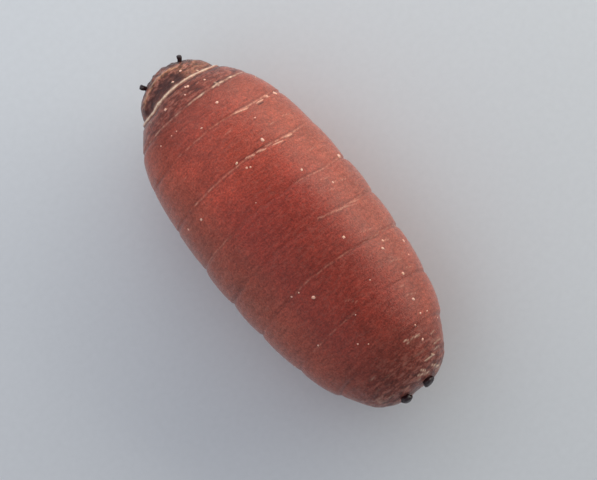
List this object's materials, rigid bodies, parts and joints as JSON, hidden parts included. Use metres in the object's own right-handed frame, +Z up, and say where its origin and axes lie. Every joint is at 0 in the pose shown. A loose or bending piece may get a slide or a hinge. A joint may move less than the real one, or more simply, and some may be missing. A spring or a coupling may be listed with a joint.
{
  "type": "fly puparium",
  "caption": "Barrel-shaped, ringed fly puparium with short breathing horns at the head end, dark knobs at the tail and a slightly flat belly.",
  "frame": {"origin": "on the flattened belly, on the middle line, midway along the smooth part of the body", "axes": "+Y towards the head end, +Z up through the back, +X to the right seen from above with the head end away"},
  "size_m": [0.0012, 0.0026, 0.001],
  "materials": {
    "hardened_skin": "satin"
  },
  "bodies": {
    "root": {"puparium": "hardened_skin"}
  },
  "joints": []
}
